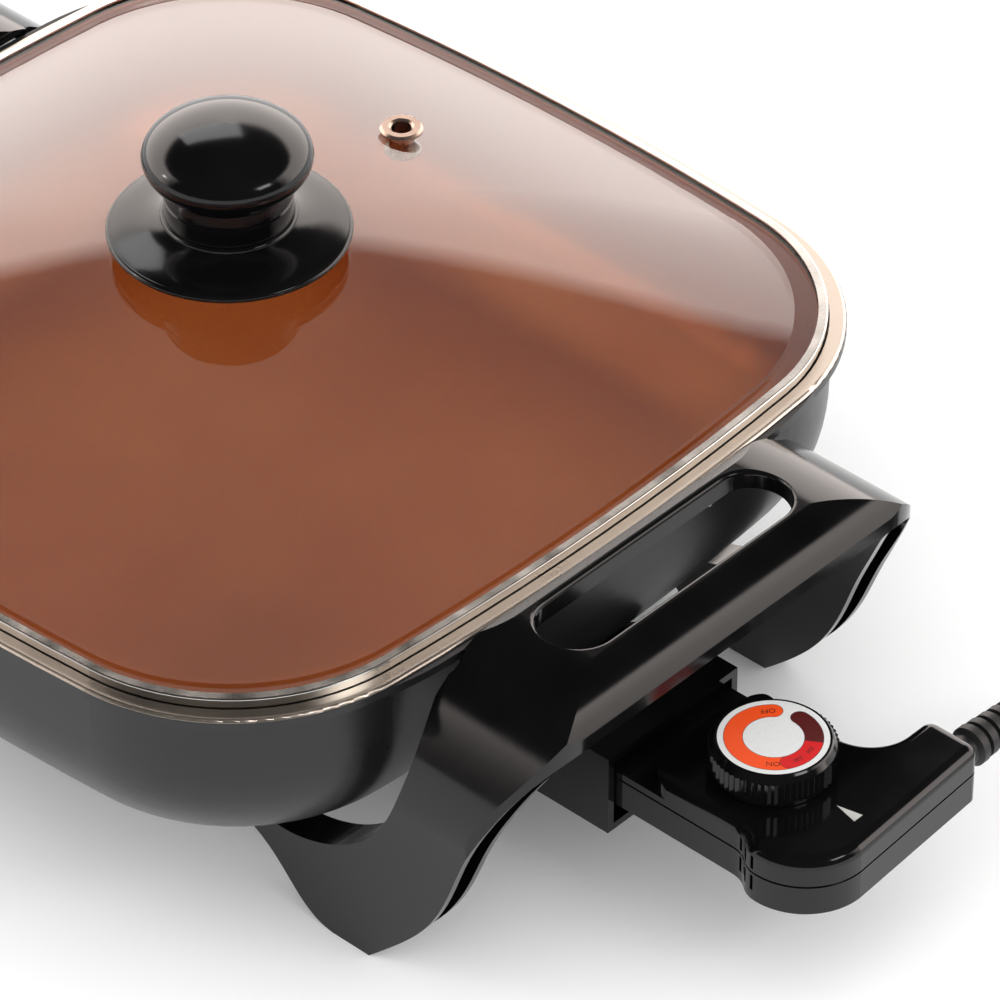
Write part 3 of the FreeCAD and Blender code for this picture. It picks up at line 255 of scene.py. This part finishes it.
def bandParts(tree, place, start, end):
    # the turn round the disc is pi at the band's middle, so the band never meets its seam;
    # clamped to the band, it gives the nearest point of the band's line
    axes = addNode(tree, "ShaderNodeSeparateXYZ", None, {"Vector": place})
    angle = addNode(tree, "ShaderNodeMath", {"operation": "ARCTAN2"},
                    {0: axes.outputs["Y"], 1: axes.outputs["X"]})
    middle = math.radians((start + end) / 2)
    half = math.radians((end - start) / 2)
    fromMiddle = addNode(tree, "ShaderNodeMath", {"operation": "SUBTRACT", 1: middle - math.pi},
                         {0: angle.outputs[0]})
    around = addNode(tree, "ShaderNodeMath", {"operation": "FLOORED_MODULO", 1: 2 * math.pi},
                     {0: fromMiddle.outputs[0]})
    kept = addNode(tree, "ShaderNodeClamp", {"Min": math.pi - half, "Max": math.pi + half},
                   {"Value": around.outputs[0]})
    back = addNode(tree, "ShaderNodeMath", {"operation": "ADD", 1: middle - math.pi},
                   {0: kept.outputs[0]})
    cosine = addNode(tree, "ShaderNodeMath", {"operation": "COSINE"}, {0: back.outputs[0]})
    sine = addNode(tree, "ShaderNodeMath", {"operation": "SINE"}, {0: back.outputs[0]})
    unit = addNode(tree, "ShaderNodeCombineXYZ", None,
                   {"X": cosine.outputs[0], "Y": sine.outputs[0]})
    onLine = addNode(tree, "ShaderNodeVectorMath",
                     {"operation": "SCALE", "Scale": labelLook["radius"]}, {0: unit.outputs[0]})
    away = addNode(tree, "ShaderNodeVectorMath", {"operation": "DISTANCE"},
                   {0: place, 1: onLine.outputs[0]})
    return away.outputs["Value"], around.outputs[0], math.pi + half


def printedLabelFinish(look):
    material, tree = newMaterial("screenPrintedDialLabel")
    place = addNode(tree, "ShaderNodeTexCoord").outputs["Object"]
    flat = addNode(tree, "ShaderNodeMapping",
                   {"Location": (-look["centre"][0], -look["centre"][1], 0.0),
                    "Scale": (1.0, 1.0, 0.0)}, {"Vector": place})
    mottle = addNode(tree, "ShaderNodeTexNoise", {"Scale": 1 / look["mottle"], "Detail": 2.0},
                     {"Vector": place})
    colour = blend(tree, mottle.outputs[0], look["disc"])
    for ink, start, end, cutStraight in look["bands"]:
        away, around, stop = bandParts(tree, flat.outputs[0], start, end)
        for tone, reach in ((look["line"], look["half"] + look["outline"]), (ink, look["half"])):
            inside = addNode(tree, "ShaderNodeMath", {"operation": "LESS_THAN", 1: reach},
                             {0: away})
            if cutStraight:
                before = addNode(tree, "ShaderNodeMath", {"operation": "LESS_THAN", 1: stop},
                                 {0: around})
                inside = addNode(tree, "ShaderNodeMath", {"operation": "MULTIPLY"},
                                 {0: inside.outputs[0], 1: before.outputs[0]})
            mixed = addNode(tree, "ShaderNodeMix", {"data_type": "RGBA", 7: linearFromHex(tone)},
                            {0: inside.outputs[0], 6: colour})
            colour = mixed.outputs[2]
    shader = addNode(tree, "ShaderNodeBsdfPrincipled",
                     {"Roughness": 0.4, "Coat Weight": 0.25, "Coat Roughness": 0.08},
                     {"Base Color": colour})
    finishMaterial(tree, shader)
    return material


# pointer: pad printed pale ink, flat and dull
printLook = {"colours": ("a9a8a4", "b9b7b2"), "roughness": (0.4, 0.5), "patch": 0.004,
             "grain": 0.0006, "height": 0.000005}
palePrint = surfaceFinish("padPrintedPointer", printLook)
# dial lettering: screen printed dark red ink, flat
inkLook = {"colours": ("3c0d0a", "4a120e"), "roughness": (0.4, 0.5), "patch": 0.002,
           "grain": 0.0004, "height": 0.000001}
letteringInk = surfaceFinish("screenPrintedInk", inkLook)

dress(["pan_body"], castPanFinish(panLook))
dress(["ceramic_lining"], copperCeramicFinish(liningLook))
dress(["front_handle_and_legs", "rear_handle_and_legs", "socket_guard", "lid_knob_base",
       "lid_knob_grip"], mouldedPhenolic)
dress(["control_lower_housing", "control_upper_housing", "temperature_dial"], mouldedHousing)
dress(["handle_arm_screws", "handle_ledge_screws", "socket_guard_screws", "control_housing_screws",
       "terminal_pins", "lid_knob_screw", "lid_knob_steel_washer", "dial_spindle",
       "sensor_probe", "sensor_sleeve"], platedSteel)
dress(["lid_steel_band"], polishedStainless)
dress(["steam_vent_grommet"], pressedVent)
dress(["plug_blades", "contact_receptacles", "thermostat_blades"], drawnBrass)
dress(["terminal_pin_bushes", "thermostat_frame"], firedSteatite)
dress(["heating_element"], heatedSheath)
dress(["lid_knob_seal"], siliconeSeal)
dress(["cord_strain_relief", "plug_body"], cordRubber)
dress(["control_pointer"], palePrint)
dress(["dial_label"], printedLabelFinish(labelLook))
dress(["lid_glass"], clearGlassFinish(glassLook))
print("finishes done")

# dial lettering: single words laid along the bands, given by the word, its place in degrees,
# its height and whether its top points in or out
wordsLook = {"thick": 0.00003,
             "words": [("OFF", 49, 0.0026, "in"), ("ON", 220, 0.0026, "out"),
                       ("200", 258, 0.0021, "out"), ("350", 284, 0.0021, "out")]}


def dialWords(look):
    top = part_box("dial_label")[1][2]
    corners = []
    faces = []
    for word, degrees, size, up in look["words"]:
        text = bpy.data.curves.new("dialWord", "FONT")
        text.body = word
        text.size = size
        text.align_x = "CENTER"
        text.align_y = "CENTER"
        text.extrude = look["thick"] / 2
        holder = bpy.data.objects.new("dialWord", text)
        mesh = bpy.data.meshes.new_from_object(holder)
        points = np.empty(len(mesh.vertices) * 3)
        mesh.vertices.foreach_get("co", points)
        points = points.reshape(-1, 3)
        # the word's own X runs round the disc and its own Y points to or from the centre
        angle = math.radians(degrees)
        outward = np.array((math.cos(angle), math.sin(angle), 0.0))
        rise = outward if up == "out" else -outward
        along = np.array((rise[1], -rise[0], 0.0))
        middle = np.array((*labelLook["centre"], top + look["thick"] / 2))
        middle = middle + outward * labelLook["radius"]
        start = sum(len(block) for block in corners)
        corners.append(middle + points[:, :1] * along + points[:, 1:2] * rise
                       + points[:, 2:] * np.array((0.0, 0.0, 1.0)))
        faces += [[start + i for i in face.vertices] for face in mesh.polygons]
        bpy.data.objects.remove(holder)
    mesh = bpy.data.meshes.new("dialLettering")
    mesh.from_pydata(np.vstack(corners).tolist(), [], faces)
    mesh.materials.append(letteringInk)
    lettering = addObject("dialLettering", mesh)
    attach(lettering, "dial")


dialWords(wordsLook)
print("dial lettered")

# mains cord: a run down to the table, given by its x and heights, then a coil in two layers
cordLook = {"radius": 0.0035, "runY": -0.2135,
            "run": [(0.060, 0.045), (0.103, 0.045), (0.134, 0.014), (0.160, 0.0035)],
            "coilCentre": (0.196, -0.26025), "inner": 0.03725, "step": 0.0076, "turns": 2.5,
            "climbTurns": 0.5, "pointsPerTurn": 18, "tail": 0.022}


def coilPoints(look):
    # radius falls and grows again by one step a turn, and halfway the height climbs one step
    # along half a cosine wave
    count = int(look["turns"] * look["pointsPerTurn"])
    t = np.linspace(0, look["turns"], count + 1)
    fromMiddle = t - look["turns"] / 2
    radius = look["inner"] + look["step"] * np.abs(fromMiddle)
    angle = math.pi / 2 - 2 * math.pi * t
    rise = np.clip(fromMiddle / look["climbTurns"] + 0.5, 0, 1)
    height = look["radius"] + look["step"] * (0.5 - 0.5 * np.cos(math.pi * rise))
    x = look["coilCentre"][0] + radius * np.cos(angle)
    y = look["coilCentre"][1] + radius * np.sin(angle)
    return np.stack([x, y, height], axis=1)


def layCord(look):
    coil = coilPoints(look)
    run = [(x, look["runY"], height) for x, height in look["run"]]
    points = np.vstack([run, coil, coil[-1] - np.array([[look["tail"], 0, 0]])])
    curve = bpy.data.curves.new("mainsCord", "CURVE")
    curve.dimensions = "3D"
    curve.bevel_depth = look["radius"]
    curve.bevel_resolution = 6
    spline = curve.splines.new("NURBS")
    spline.points.add(len(points) - 1)
    spline.points.foreach_set("co", np.hstack([points, np.ones((len(points), 1))]).ravel())
    spline.order_u = 3
    spline.use_endpoint_u = True
    spline.resolution_u = 6
    curve.materials.append(cordRubber)
    return addObject("mainsCord", curve)


mainsCord = layCord(cordLook)
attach(mainsCord, "heat_control")
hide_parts("cord_lead", "cord_coil")
print("cord laid")

# a white cove: soft light from all round, stronger from the camera's side; shiny faces see a
# bright wall behind the object, up to wallTop, and a dim room elsewhere; heights are the sine
# of the elevation, and spans along wallWay are the cosine of the angle to it
stageLook = {"floor": "fafafa", "floorHalf": 6.0, "key": (1.95, 0.85), "keySpan": (-0.8, 0.6),
             "wall": 3.8, "wallTop": 0.56, "roomFrom": 0.62, "room": 0.05, "wallTone": "fff5ef",
             "wallWay": (0.7366, 0.6763, 0.0), "wallEnd": (-0.3, 0.0)}
# the lamps look at a point over the pan's middle
lampTarget = (0.0, 0.027, 0.13)
lampLook = {"frontBox": {"place": (0.12, -1.22, 0.96), "size": (0.42, 0.24), "power": 2.2},
            "crownBox": {"place": (0.399, 0.638, 0.862), "size": (0.5, 0.25), "power": 1.33},
            "sideLamp": {"place": (-0.93, 1.02, 0.68), "size": (0.12, 0.12), "power": 0.9}}


def paleFloor():
    material, tree = newMaterial("paleStudioFloor")
    shader = addNode(tree, "ShaderNodeBsdfPrincipled",
                     {"Base Color": linearFromHex(stageLook["floor"]), "Roughness": 0.7})
    finishMaterial(tree, shader)
    mesh = bpy.data.meshes.new("studioFloor")
    half = stageLook["floorHalf"]
    mesh.from_pydata([(-half, -half, 0), (half, -half, 0), (half, half, 0), (-half, half, 0)], [],
                     [(0, 1, 2, 3)])
    mesh.materials.append(material)
    floor = addObject("studioFloor", mesh)


def softbox(name, place, target, size, power):
    light = bpy.data.lights.new(name, "AREA")
    light.shape = "RECTANGLE"
    light.size, light.size_y = size
    light.energy = power
    aim = np.array(place) - np.array(target)
    aim = aim / np.linalg.norm(aim)
    side = np.cross((0, 0, 1), aim)
    side = side / np.linalg.norm(side)
    top = np.cross(aim, side)
    placeWithAxes(addObject(name, light), (side, top, aim), place)


def whiteCove():
    world = bpy.data.worlds.new("whiteCove")
    bpy.context.scene.world = world
    world.use_nodes = True
    tree = world.node_tree
    tree.nodes.clear()
    place = addNode(tree, "ShaderNodeTexCoord").outputs["Generated"]
    axes = addNode(tree, "ShaderNodeSeparateXYZ", None, {"Vector": place})
    height = addNode(tree, "ShaderNodeMapRange",
                     {"From Min": stageLook["wallTop"], "From Max": stageLook["roomFrom"],
                      "To Min": 1.0, "To Max": 0.0}, {"Value": axes.outputs["Z"]})
    behind = addNode(tree, "ShaderNodeVectorMath",
                     {"operation": "DOT_PRODUCT", 1: stageLook["wallWay"]}, {0: place})
    width = addNode(tree, "ShaderNodeMapRange",
                    {"From Min": stageLook["wallEnd"][0], "From Max": stageLook["wallEnd"][1]},
                    {"Value": behind.outputs["Value"]})
    wall = addNode(tree, "ShaderNodeMath", {"operation": "MULTIPLY"},
                   {0: height.outputs[0], 1: width.outputs[0]})
    level = addNode(tree, "ShaderNodeMapRange",
                    {"To Min": stageLook["room"], "To Max": stageLook["wall"]},
                    {"Value": wall.outputs[0]})
    key = addNode(tree, "ShaderNodeMapRange",
                  {"From Min": stageLook["keySpan"][0], "From Max": stageLook["keySpan"][1],
                   "To Min": stageLook["key"][0], "To Max": stageLook["key"][1]},
                  {"Value": behind.outputs["Value"]})
    even = addNode(tree, "ShaderNodeBackground", {"Color": linearFromHex("ffffff")},
                   {"Strength": key.outputs[0]})
    seen = addNode(tree, "ShaderNodeBackground", {"Color": linearFromHex(stageLook["wallTone"])},
                   {"Strength": level.outputs[0]})
    way = addNode(tree, "ShaderNodeLightPath")
    mirrored = addNode(tree, "ShaderNodeMath", {"operation": "SUBTRACT", "use_clamp": True},
                       {0: way.outputs["Is Glossy Ray"], 1: way.outputs["Is Transmission Ray"]})
    both = addNode(tree, "ShaderNodeMixShader", None,
                   {0: mirrored.outputs[0], 1: even.outputs[0], 2: seen.outputs[0]})
    addNode(tree, "ShaderNodeOutputWorld", None, {"Surface": both.outputs[0]})


# rows of the view matrix and the lens, solved from the photograph
cameraLook = {"right": (0.6763, -0.7366, 0.0), "up": (0.4610, 0.4233, 0.7799),
              "back": (-0.5745, -0.5275, 0.6259), "place": (-1.1642, -1.1496, 1.3650),
              "lens": 252.46, "sensor": 36.0, "clipEnd": 20}


def photoCamera(look):
    camera = bpy.data.cameras.new("photoCamera")
    camera.sensor_width = look["sensor"]
    camera.lens = look["lens"]
    camera.clip_end = look["clipEnd"]
    holder = addObject("photoCamera", camera)
    placeWithAxes(holder, (look["right"], look["up"], look["back"]), look["place"])
    bpy.context.scene.camera = holder


paleFloor()
whiteCove()
for lampName, lamp in lampLook.items():
    softbox(lampName, lamp["place"], lampTarget, lamp["size"], lamp["power"])
# the crown box lights the knob alone, as it would leave a hard patch in the glass
knobOnly = bpy.data.collections.new("knobOnly")
for name in ("lid_knob_grip", "lid_knob_base"):
    knobOnly.objects.link(nodes[name])
bpy.data.objects["crownBox"].light_linking.receiver_collection = knobOnly
photoCamera(cameraLook)
bpy.context.scene.view_settings.view_transform = "Standard"
print("stage set")
